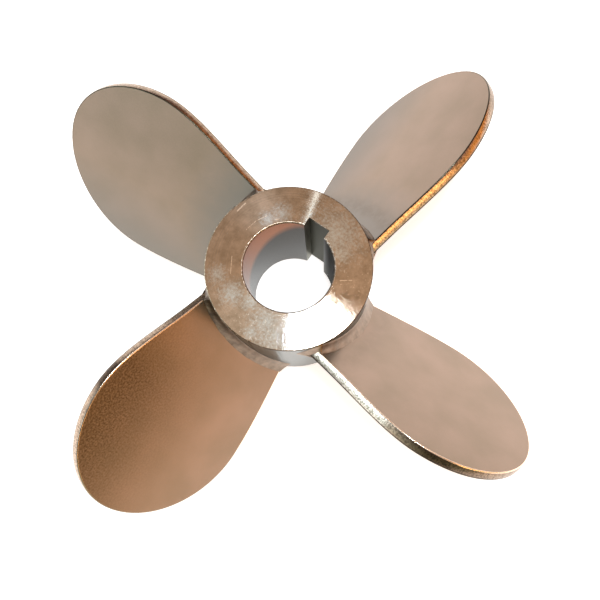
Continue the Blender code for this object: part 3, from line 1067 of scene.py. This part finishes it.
filed_rim, tree, place = new_material("filed_rim_steel")
spots = add_node(tree, "TexNoise", {"Vector": place, "Scale": 1.0 / RIM_SPOT, "Detail": 3.0})
bare_and_glints = add_node(tree, "MapRange", {"Value": spots, "From Min": 0.52, "From Max": 0.64})
inner, outer, bright = [
    add_node(tree, "Mix", [bare_and_glints, *colours], data_type="RGBA") for colours in (BORE_RIM, OUTER_RIM, LIGHTER_RIM)
]
level = add_node(tree, "VectorMath", [place, LEVEL_PART], operation="MULTIPLY")
radius = add_node(tree, "VectorMath", [level], operation="LENGTH")
outside = add_node(tree, "MapRange", {
    "Value": radius, "From Min": BORE_RIM_ENDS, "From Max": OUTER_RIM_STARTS})
toward_left = add_node(tree, "VectorMath", [level, in_picture(LIGHTER_SIDE, 0.0)], operation="DOT_PRODUCT")
lighter_share = add_node(tree, "MapRange", {
    "Value": toward_left, "From Min": LIGHTER_STARTS * HUB_RADIUS, "From Max": LIGHTER_WHOLE * HUB_RADIUS})
outer = add_node(tree, "Mix", [lighter_share, outer, bright], data_type="RGBA")
colour = add_node(tree, "Mix", [outside, inner, outer], data_type="RGBA")
roughness = add_node(tree, "MapRange", {"Value": outside, "To Min": 0.36, "To Max": 0.55})
close_metal(filed_rim, colour, roughness, spots, 0.05 * MM)

# %% [markdown]
# The blades look like mild steel plate, ground and then polished with a soft wheel: a satin face
# with a slow mottle from the wheel. Near the weld and along the lowered side, two of them are darkened
# by a grey painted shade. Both could be painted on each blade. Here a distance from the hub's axis and a
# distance across the blank say where, and an amount kept with each mesh says how much, so that one
# material serves all four.

# %% Polished plate: mottle and dulling
MOTTLE_SIZE = 22.0 * MM
SMOKE_SIZE = 5.0 * MM
SMOKE_WANDER = 4.5 * MM
# Painted shade near the weld, fading out between these distances from the hub's axis
SHADE_FROM = HUB_RADIUS + 6.0 * MM
SHADE_TO = HUB_RADIUS + 28.0 * MM
# Across the blank, the painted shade is strongest below the first place and gone above the second
SHADED_BELOW = -24.0 * MM
UNSHADED_ABOVE = 6.0 * MM
POLISHED_SHADES = ("#928374", "#9d8b7d")
# the grey of the painted shade
PAINTED_PLATE_SHADE = "#837e78"

plate_face, tree, place = new_material("polished_plate_steel")
mottle = add_node(tree, "TexNoise", {"Vector": place, "Scale": 1.0 / MOTTLE_SIZE, "Detail": 4.0})
# the hub's axis is square to the blank's length, and its distance shrinks across by the pitch's cosine
from_axis = add_node(tree, "VectorMath", [place, (1.0, math.cos(BLADE_PITCH), 0.0)], operation="MULTIPLY")
distance = add_node(tree, "VectorMath", [from_axis], operation="LENGTH")
smoke = add_node(tree, "TexNoise", {
    "Vector": place, "Scale": 1.0 / SMOKE_SIZE, "Detail": 4.0, "Roughness": 0.65})
# the noise is a half on the average, so it is centred before it makes the distance wander
uneven = add_node(tree, "MapRange", {"Value": smoke, "To Min": -SMOKE_WANDER, "To Max": SMOKE_WANDER})
wandering = add_node(tree, "Math", [distance, uneven])
near_hub_shade = add_node(tree, "MapRange", {
    "Value": wandering, "From Min": SHADE_FROM, "From Max": SHADE_TO, "To Min": 1.0, "To Max": 0.0})
across = add_node(tree, "SeparateXYZ", [place]).outputs["Y"]
lowered_side_shade = add_node(tree, "MapRange", {
    "Value": across, "From Min": SHADED_BELOW, "From Max": UNSHADED_ABOVE, "To Min": 0.9, "To Max": 0.0})
shade_mask = add_node(tree, "Math", [near_hub_shade, lowered_side_shade], operation="MAXIMUM")
shade = add_node(tree, "MapRange", {"Value": mottle, "From Min": 0.35, "From Max": 0.65})
polished = add_node(tree, "Mix", [shade, *POLISHED_SHADES], data_type="RGBA")
# how much painted shade each blade has
plate_shade_amount = add_node(tree, "Attribute", attribute_name="plate_shade").outputs["Fac"]
shade_here = add_node(tree, "Math", [shade_mask, plate_shade_amount], operation="MULTIPLY")
dulled_and_shaded = add_node(tree, "Mix", [shade_here, polished, PAINTED_PLATE_SHADE], data_type="RGBA")
print("dulled to", round(1000.0 * (SHADE_TO - HUB_RADIUS)), "mm from the hub")

# %% [markdown]
# A dark ring near the bead shows on two of the blades: partly heat tint from welding, partly a painted
# reflection of the hub. Over the raised side lies a painted brown reflection, grainy, and strong on the
# lower left blade alone. Blending by the noise alone would spread both evenly; they follow distances, and
# each blade has its own amounts again.

# %% Polished plate: heat tint, film and metal
# A dark ring near the bead: partly heat tint from welding, partly a painted reflection of the hub
TINT_RING = HUB_RADIUS + 11.0 * MM
TINT_REACH = 6.0 * MM
HEAT_TINT_AND_HUB_REFLECTION = "#5c564e"
# The painted brown reflection grows from one place across the blank to another, and outwards from the hub to
# a third
BROWN_REFLECTION_FROM = -10.0 * MM
BROWN_REFLECTION_TO = 56.0 * MM
BROWN_REFLECTION_WHOLE_AT = HUB_RADIUS + 40.0 * MM
# the painted brown reflection's colour
PAINTED_BROWN_REFLECTION = "#51473a"
# The polishing grain is about 0.1 mm, too fine for the picture, so it is drawn at 0.8 mm
GRAIN_SIZE = 0.8 * MM

grain = add_node(tree, "TexNoise", {"Vector": place, "Scale": 1.0 / GRAIN_SIZE, "Detail": 2.0})
off_ring = add_node(tree, "Math", [wandering, TINT_RING], operation="SUBTRACT")
ring_apart = add_node(tree, "Math", [off_ring], operation="ABSOLUTE")
ringed = add_node(tree, "MapRange", {
    "Value": ring_apart, "From Max": TINT_REACH, "To Min": 1.0, "To Max": 0.0,
}, interpolation_type="SMOOTHSTEP")
patchy = add_node(tree, "MapRange", {"Value": smoke, "From Min": 0.38, "From Max": 0.55, "To Min": 0.3})
tint = add_node(tree, "Math", [ringed, patchy], operation="MULTIPLY")
tint_amount = add_node(tree, "Attribute", attribute_name="tint").outputs["Fac"]
tint_here = add_node(tree, "Math", [tint, tint_amount], operation="MULTIPLY")
tinted = add_node(tree, "Mix", [tint_here, dulled_and_shaded, HEAT_TINT_AND_HUB_REFLECTION], data_type="RGBA")
rising = add_node(tree, "MapRange", {
    "Value": across, "From Min": BROWN_REFLECTION_FROM, "From Max": BROWN_REFLECTION_TO}, interpolation_type="SMOOTHSTEP")
outwards = add_node(tree, "MapRange", {
    "Value": distance, "From Min": HUB_RADIUS, "From Max": BROWN_REFLECTION_WHOLE_AT})
spread = add_node(tree, "Math", [rising, outwards], operation="MULTIPLY")
brown_reflection_read = add_node(tree, "Attribute", attribute_name="brown_reflection_amount").outputs["Fac"]
brown_reflection_mask = add_node(tree, "Math", [spread, brown_reflection_read], operation="MULTIPLY")
grainy = add_node(tree, "MapRange", {
    "Value": grain, "From Min": 0.3, "From Max": 0.7, "To Min": 0.65, "To Max": 1.25})
brown_reflection_here = add_node(tree, "Math", [brown_reflection_mask, grainy], operation="MULTIPLY", use_clamp=True)
colour = add_node(tree, "Mix", [brown_reflection_here, tinted, PAINTED_BROWN_REFLECTION], data_type="RGBA")
close_metal(plate_face, colour, 0.3, grain, 0.010 * MM)

# %% [markdown]
# The edges were dressed on a belt, square to their length, which leaves short strokes and fine pits, so
# they sparkle more than the faces. Along their length they carry painted light: some lengths are painted
# dark as shade, others near white as a highlight. One flat colour would lose that, and a painted strip would
# need a picture. Here an amount kept with each mesh says it: 0 is painted shade, 0.5 the plain worked
# colour and 1 a painted highlight.

# %% Linished edge: strokes and bareness
# Belt strokes and pits are about 0.2 mm wide; both are drawn at 0.7 mm, which the picture can hold. The
# strokes are longer than the plate is thick, so they cross the whole edge
STROKE_WIDTH = 0.7 * MM
STROKE_LENGTH = 1.0 / 90.0
PIT_SIZE = 0.7 * MM
PIT_SHARE = 0.6
# For each state, its colour in the pits and on the strokes
# painted shade, the plain worked colour and a painted highlight
SHADED_EDGE = ("#2e2620", "#5a4a3c")
PLAIN_EDGE = ("#897868", "#c4b19d")
HIGHLIT_EDGE = ("#a5a293", "#fbf8ee")

edge_metal, tree, place = new_material("linished_edge_steel")
strokes = tool_marks(tree, place, (STROKE_WIDTH, STROKE_WIDTH, STROKE_LENGTH), detail=3.0)
pits = add_node(tree, "TexNoise", {"Vector": place, "Scale": 1.0 / PIT_SIZE, "Detail": 2.0})
marks = add_node(tree, "Mix", [PIT_SHARE, strokes, pits], data_type="FLOAT")
speckle = add_node(tree, "MapRange", {"Value": marks, "From Min": 0.40, "From Max": 0.58})
edge_light = add_node(tree, "Attribute", attribute_name="edge_light").outputs["Fac"]
unshaded_share = add_node(tree, "MapRange", {"Value": edge_light, "From Max": 0.5})
highlit_share = add_node(tree, "MapRange", {"Value": edge_light, "From Min": 0.5})
shaded_edge_colour, plain_edge_colour, highlit_edge_colour = [
    add_node(tree, "Mix", [speckle, *colours], data_type="RGBA")
    for colours in (SHADED_EDGE, PLAIN_EDGE, HIGHLIT_EDGE)
]
shade_to_plain = add_node(tree, "Mix", [unshaded_share, shaded_edge_colour, plain_edge_colour], data_type="RGBA")
clean_and_lit = add_node(tree, "Mix", [highlit_share, shade_to_plain, highlit_edge_colour], data_type="RGBA")
print("edge states:", SHADED_EDGE, PLAIN_EDGE, HIGHLIT_EDGE)

# %% [markdown]
# The corners of an edge carry painted light. The upper one is a thin painted highlight on the lower right
# blade, and on the lower left one as far as its dark stretch. Beyond that, and on the two upper blades,
# it is painted dark as shade. The lower corner is painted dark as shade on all four. Faces of their own
# would give the corners hard borders; the height on the plate finds them, and an amount kept with the
# mesh says how much painted shade the upper one has.

# %% Linished edge: corners and metal
# Heights on the plate where each corner's colour starts and where it is whole
UPPER_CORNER = (-0.525 * MM, -0.28 * MM)
LOWER_CORNER = (1.05 * MM - BLADE_THICKNESS, 0.42 * MM - BLADE_THICKNESS)
# a painted highlight, and painted shade for the upper and the lower corner
HIGHLIT_CORNER = "#fff0dc"
SHADED_CORNER = "#4c4a3f"
SHADED_LOWER_CORNER = "#35322a"

above = add_node(tree, "SeparateXYZ", [place]).outputs["Z"]
high_corner, low_corner = [
    add_node(tree, "MapRange", {"Value": above, "From Min": starts, "From Max": whole})
    for starts, whole in (UPPER_CORNER, LOWER_CORNER)
]
corner_shade = add_node(tree, "Attribute", attribute_name="corner_shade").outputs["Fac"]
corner = add_node(tree, "Mix", [corner_shade, HIGHLIT_CORNER, SHADED_CORNER], data_type="RGBA")
cornered = add_node(tree, "Mix", [high_corner, clean_and_lit, corner], data_type="RGBA")
colour = add_node(tree, "Mix", [low_corner, cornered, SHADED_LOWER_CORNER], data_type="RGBA")
close_metal(edge_metal, colour, 0.25, marks, 0.06 * MM)

# %% [markdown]
# The welds were dressed with a small wheel and then darkened, each to its own degree, partly by soot
# and partly by painted shade: the lower left one is darkest, and the ones on the right have almost the
# plate's colour. The darkening thins out from the raised end of a weld to the lowered one. Four materials
# could say so; instead the amount is kept with each bead's mesh, and one material serves all four.

# %% Dressed weld
# Soot lies in smuts of a few millimetres
SMUT_SIZE = 4.0 * MM
BRUSHED_WELD = ("#887a6c", "#a08f80")
# partly soot, partly painted shade
SOOTY_AND_SHADED_WELD = ("#453c35", "#7d6f61")

weld_metal, tree, place = new_material("dressed_weld_steel")
smuts = add_node(tree, "TexNoise", {
    "Vector": place, "Scale": 1.0 / SMUT_SIZE, "Detail": 5.0, "Roughness": 0.68})
clean_and_lit = add_node(tree, "MapRange", {"Value": smuts, "From Min": 0.36, "From Max": 0.66})
soot_and_shade = add_node(tree, "Attribute", attribute_name="soot_and_shade").outputs["Fac"]
brushed, sooty_and_shaded = [
    add_node(tree, "Mix", [clean_and_lit, *colours], data_type="RGBA") for colours in (BRUSHED_WELD, SOOTY_AND_SHADED_WELD)
]
colour = add_node(tree, "Mix", [soot_and_shade, brushed, sooty_and_shaded], data_type="RGBA")
close_metal(weld_metal, colour, 0.36, smuts, 0.018 * MM)

# %% [markdown]
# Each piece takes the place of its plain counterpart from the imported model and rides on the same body,
# so that whatever moves the model moves its finish too. The hub comes first.

# %% Put the hub in place
hub_body = link_piece("hub_body", hub_mesh, [turned_face, side_wall, reamed_bore, broached, filed_rim])
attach(hub_body, "root")
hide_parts("hub")
print(hub_body.name, "has", len(hub_body.data.materials), "finishes")

# %% [markdown]
# The four blades share their materials, and what sets them apart is a handful of amounts read off the
# real ones: how much painted shade, painted brown reflection and heat tint with a painted hub
# reflection each plate has, how sooty and shaded its weld, and how much painted light its edge and its
# upper corner have along their length. Kept in one place, they can be compared and changed together.

# %% How each blade differs, with its painted light
# For each amount that the plate's material reads, how much of it blades 1 to 4 have
PLATE_AMOUNTS = {
    "plate_shade": [1.0, 1.0, 0.0, 0.0],
    # painted brown reflection
    "brown_reflection_amount": [0.1, 0.15, 0.95, 0.08],
    # heat tint, with a painted reflection of the hub
    "tint": [0.28, 0.0, 0.0, 0.12],
}
# For each weld, the soot and painted shade at its raised end and at its lowered one
WELD_SOOT_AND_SHADE = [(0.5, 0.1), (0.7, 0.3), (1.1, 0.2), (0.3, 0.0)]

# Along each raised edge, its painted light, from painted shade to a painted highlight, by how far out in mm
EDGE_LIGHT = [
    [(38.0, 0.60), (98.0, 0.60), (106.0, 0.30), (124.0, 0.26)],
    [(38.0, 0.42), (124.0, 0.38)],
    [(38.0, 0.46), (50.0, 0.42), (67.0, 0.36), (72.0, 0.0), (81.0, 0.0), (87.0, 0.5)],
    [(38.0, 1.0), (64.0, 0.95), (67.0, 0.6), (71.0, 0.45), (78.0, 0.15), (84.0, 0.0), (92.0, 0.0),
     (112.0, 0.3)],
]

# Along each raised edge, how much painted shade its upper corner has
CORNER_SHADE = [
    [(38.0, 1.0), (124.0, 1.0)],
    [(38.0, 1.0), (124.0, 1.0)],
    [(38.0, 0.0), (70.0, 0.0), (84.0, 0.75), (124.0, 0.75)],
    [(38.0, 0.0), (124.0, 0.0)],
]


def soot_and_shade_on_weld(number):
    """A function that gives the soot and painted shade on a blade's weld, from the raised end to the lowered
    one.
    """
    raised_end, lowered_end = WELD_SOOT_AND_SHADE[number - 1]

    def amount_at(point):
        share = (point.y / MM - LOWERED_SIDE[0]) / (RAISED_SIDE[0] - LOWERED_SIDE[0])
        return lowered_end + (raised_end - lowered_end) * share

    return amount_at


def along_edge(marks):
    """A function that gives the amount between two marks at a point of the blank."""

    def amount_at(point):
        out = point.x / MM
        for (near, near_amount), (far, far_amount) in zip(marks, marks[1:]):
            if out < far:
                return near_amount + (far_amount - near_amount) * max(out - near, 0.0) / (far - near)
        return marks[-1][1]

    return amount_at


# the brown film printed here is a painted brown reflection
print("brown film on the four blades:", PLATE_AMOUNTS["brown_reflection_amount"])

# %% [markdown]
# Each blade and its weld were modelled in the blade's own space, so one matrix sets both in place. The
# materials read their places in that space and need no change.

# %% Put the blades and welds in place
for number in range(1, BLADES + 1):
    plate = link_piece(f"blade_plate_{number}", blade_meshes[number - 1], [plate_face, edge_metal])
    for name, amounts in PLATE_AMOUNTS.items():
        keep_amount(plate.data, name, lambda point: amounts[number - 1])
    keep_amount(plate.data, "edge_light", along_edge(EDGE_LIGHT[number - 1]))
    keep_amount(plate.data, "corner_shade", along_edge(CORNER_SHADE[number - 1]))
    plate.matrix_world = blade_matrix(number)
    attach(plate, "root")
    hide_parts(f"blade_{number}")

    bead = link_piece(f"weld_bead_{number}", bead_meshes[number - 1], [weld_metal])
    keep_amount(bead.data, "soot_and_shade", soot_and_shade_on_weld(number))
    bead.matrix_world = blade_matrix(number)
    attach(bead, "root")
    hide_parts(f"weld_upper_{number}", f"weld_lower_{number}",
                f"weld_raised_end_{number}", f"weld_lowered_end_{number}")

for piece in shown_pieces():
    print(piece.name, len(piece.data.polygons), "faces")
